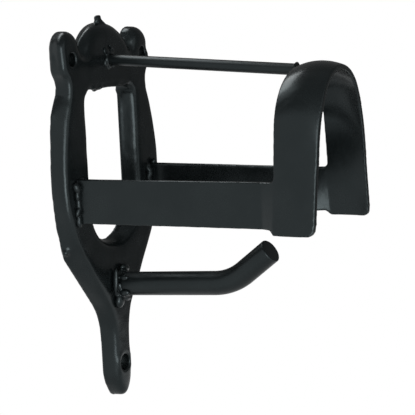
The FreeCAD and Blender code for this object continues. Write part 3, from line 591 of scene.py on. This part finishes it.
# round the rod's root a ring and a thin puddle on the plate
rodPlateBead = {
    "ring": {"radius": 3.2, "leg": 1.7, "count": 8, "seed": 3, "thin": 0.8, "thick": 1.1, "lift": 0,
             "stretch": 1.5},
    "puddle": [((-3.0, -11.1, 3.0), (3.0, 0.9, 2.4), (0, 0.5, 0)),
               ((2.8, -11.1, 2.6), (2.6, 1.0, 2.0), (0, -0.4, 0)),
               ((-4.2, -11.2, -3.4), (1.9, 1.1, 2.6), (0, 0.2, 0)),
               ((-1.2, -11.0, -6.2), (2.6, 0.8, 1.6), (0, 0, 0)),
               ((1.6, -11.4, 5.0), (2.4, 0.9, 0.8), (0, 0.6, 0))],
}
# at the arch hardly a rim
rodArchBead = {
    "ring": {"radius": 3.1, "leg": 1.15, "count": 13, "seed": 5, "thin": 0.9, "thick": 1.05,
             "lift": 0.3, "stretch": 1.4},
}
# round the hook a flange, a rough neck and heavier lobes at its top, left side and foot
hookBead = {
    "flange": {"radius": 7.4, "leg": 2.4, "count": 10, "seed": 12, "thin": 0.8, "thick": 1.0,
               "lift": 0.2, "stretch": 2.0},
    "neck": {"radius": 6.3, "leg": 1.8, "count": 8, "seed": 4, "thin": 0.8, "thick": 1.0,
             "lift": 3.2, "stretch": 1.9},
    "lobes": [((-4.8, -12.4, -143.2), (3.6, 2.7, 5.4), (0, 0.35, 0)),
              ((-8.9, -12.6, -131.0), (1.6, 1.9, 7.6), (0, 0.12, 0)),
              ((1.6, -12.8, -125.2), (4.4, 2.3, 2.4), (0, 0.25, 0)),
              ((-6.5, -16.6, -129.6), (1.7, 3.4, 1.9), (0, 0, 0)),
              ((-6.5, -16.8, -138.6), (1.7, 3.4, 2.2), (0, 0, 0)),
              ((2.6, -12.0, -143.6), (4.4, 1.9, 2.0), (0, 0.3, 0))],
    "rounds": 9,  # melted further than the others
}


def makeRingBeads():
    rodRoot, rodTip, hookRoot = "rod_plate_weld", "rod_arch_weld", "hook_plate_weld"
    ring = ringLumps(rodRoot, rodPlateBead["ring"])
    makeBead("rodPlateWeld", rodRoot, ring + rodPlateBead["puddle"])
    makeBead("rodArchWeld", rodTip, ringLumps(rodTip, rodArchBead["ring"]))
    rings = ringLumps(hookRoot, hookBead["flange"]) + ringLumps(hookRoot, hookBead["neck"])
    makeBead("hookPlateWeld", hookRoot, rings + hookBead["lobes"], hookBead["rounds"])


makeRingBeads()

# round bars keep their CAD shape
for node in ("stay_rod", "rein_hook"):
    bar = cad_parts[node]
    bar.data.materials.clear()
    bar.data.materials.append(coats["coated_bar"])
print("bars coated")

# camera
cameraView = {
    "target": Vector((4.0, -69.4, -87.9)) * mm,
    "azimuth": -61,
    "elevation": 8.2,
    "roll": -2.6,
    "distance": 843.8 * mm,
    "lens": 127.7,
    "sensor": 36,
    "clip": 0.01,
}


def makeCamera():
    azimuth = math.radians(cameraView["azimuth"])
    elevation = math.radians(cameraView["elevation"])
    back = Vector((math.sin(azimuth) * math.cos(elevation),
                   -math.cos(azimuth) * math.cos(elevation), math.sin(elevation)))
    data = bpy.data.cameras.new("camera")
    data.lens = cameraView["lens"]
    data.sensor_width = cameraView["sensor"]
    data.clip_start = cameraView["clip"]
    camera = bpy.data.objects.new("camera", data)
    bpy.context.scene.collection.objects.link(camera)
    turned = back.to_track_quat("Z", "Y").to_matrix().to_4x4()
    rolled = turned @ Matrix.Rotation(math.radians(cameraView["roll"]), 4, "Z")
    stand = cameraView["target"] + back * cameraView["distance"]
    camera.matrix_world = Matrix.Translation(stand) @ rolled
    bpy.context.scene.camera = camera


makeCamera()

# floor, world and lamps, in metres; the floor turns white between whiteFrom and whiteTo of its
# middle
studio = {
    "floorPlace": (0, -0.08, -0.3),
    "floorSize": 12,
    "floorShade": 0.86,
    "whiteFrom": 0.18,
    "whiteTo": 0.29,
    "worldLevel": 0.55,
}


# one for the rays that see the background, straight or in a reflection
def backgroundRays(start):
    path = start.node("ShaderNodeLightPath")
    seen, glossy, through = (Wire(start.tree, path.outputs[name]) for name in
                             ("Is Camera Ray", "Is Glossy Ray", "Is Transmission Ray"))
    return start.math("MINIMUM", seen + glossy + through, 1.0)


def makeFloor():
    deselectAll()
    bpy.ops.mesh.primitive_plane_add(size=studio["floorSize"], location=studio["floorPlace"])
    floor = bpy.context.active_object
    floor.name = "floor"
    material, tree, output, place = newMaterial("paleFloor")
    length = place.node("ShaderNodeVectorMath", {"operation": "LENGTH"}, _0=place)
    distance = Wire(tree, length.outputs["Value"])
    far = distance.clamp(studio["whiteFrom"], studio["whiteTo"]) * backgroundRays(place)
    shade = studio["floorShade"]
    pale = place.node("ShaderNodeBsdfDiffuse", None, Color=(shade, shade, shade, 1))
    white = place.node("ShaderNodeEmission", None, Color=(1, 1, 1, 1), Strength=1.0)
    mixed = place.node("ShaderNodeMixShader", None, _0=far, _1=Wire(tree, pale.outputs[0]),
                       _2=Wire(tree, white.outputs[0]))
    tree.links.new(mixed.outputs[0], output.inputs["Surface"])
    floor.data.materials.append(material)


def makeWorld():
    world = bpy.data.worlds.new("studio")
    bpy.context.scene.world = world
    world.use_nodes = True
    tree = world.node_tree
    tree.nodes.clear()
    start = Wire(tree, None)
    strength = studio["worldLevel"] + backgroundRays(start) * (1 - studio["worldLevel"])
    background = start.node("ShaderNodeBackground", None, Color=(1, 1, 1, 1), Strength=strength)
    output = tree.nodes.new("ShaderNodeOutputWorld")
    tree.links.new(background.outputs[0], output.inputs["Surface"])


lamps = {
    "frontLeft": {"place": (-1.05, -0.90, 0.02), "aim": (0, -0.07, -0.11), "size": (0.75, 0.95),
                  "power": 8.5},
    "lowLeft": {"place": (-0.39, -0.34, -0.195), "aim": (0, -0.02, -0.16), "size": (0.24, 0.19),
                "power": 0.62},
    "high": {"place": (0.02, 0.12, 0.29), "aim": (0, -0.03, 0), "size": (0.26, 0.12), "power": 0.5},
    "topBack": {"place": (-0.32, 0.58, 0.95), "aim": (0, -0.08, 0), "size": (0.75, 0.42),
                "power": 1.35},
}

# dark cards, seen only in reflections, keep the white surroundings from lifting the black on the
# right and the top; the small one stands in the plate's window and does so for the far arm
cards = {
    "rightCard": {"place": (0.43, -0.4, 0.5), "turn": (0, 90, 0), "size": (4.2, 4.2),
                  "shade": 0.16},
    "topCard": {"place": (0.2, 0, 1.5), "turn": (0, 0, 0), "size": (5.0, 5.0), "shade": 0.28},
    "windowFlag": {"place": (-0.003, -0.004, -0.083), "turn": (90, 0, 0), "size": (0.040, 0.032),
                   "shade": 0.0},
}


def makeCards():
    for name, card in cards.items():
        deselectAll()
        turn = [math.radians(angle) for angle in card["turn"]]
        bpy.ops.mesh.primitive_plane_add(size=1, location=card["place"], rotation=turn)
        plane = bpy.context.active_object
        plane.scale = (*card["size"], 1)
        plane.name = name
        material, tree, output, place = newMaterial(name + "Paint")
        shade = card["shade"]
        paint = place.node("ShaderNodeEmission", None, Color=(shade, shade, shade, 1), Strength=1.0)
        tree.links.new(paint.outputs[0], output.inputs["Surface"])
        plane.data.materials.append(material)
        plane.visible_camera = False
        plane.visible_diffuse = False
        plane.visible_transmission = False
        plane.visible_shadow = False


def makeLamps():
    for name, lamp in lamps.items():
        data = bpy.data.lights.new(name, "AREA")
        data.shape = "RECTANGLE"
        data.size, data.size_y = lamp["size"]
        data.energy = lamp["power"]
        holder = bpy.data.objects.new(name, data)
        holder.visible_camera = False
        bpy.context.scene.collection.objects.link(holder)
        place, aim = Vector(lamp["place"]), Vector(lamp["aim"])
        turned = (place - aim).to_track_quat("Z", "Y").to_matrix().to_4x4()
        holder.matrix_world = Matrix.Translation(place) @ turned


makeFloor()
makeWorld()
makeLamps()
makeCards()
bpy.context.scene.view_settings.view_transform = "Standard"
print("studio ready")
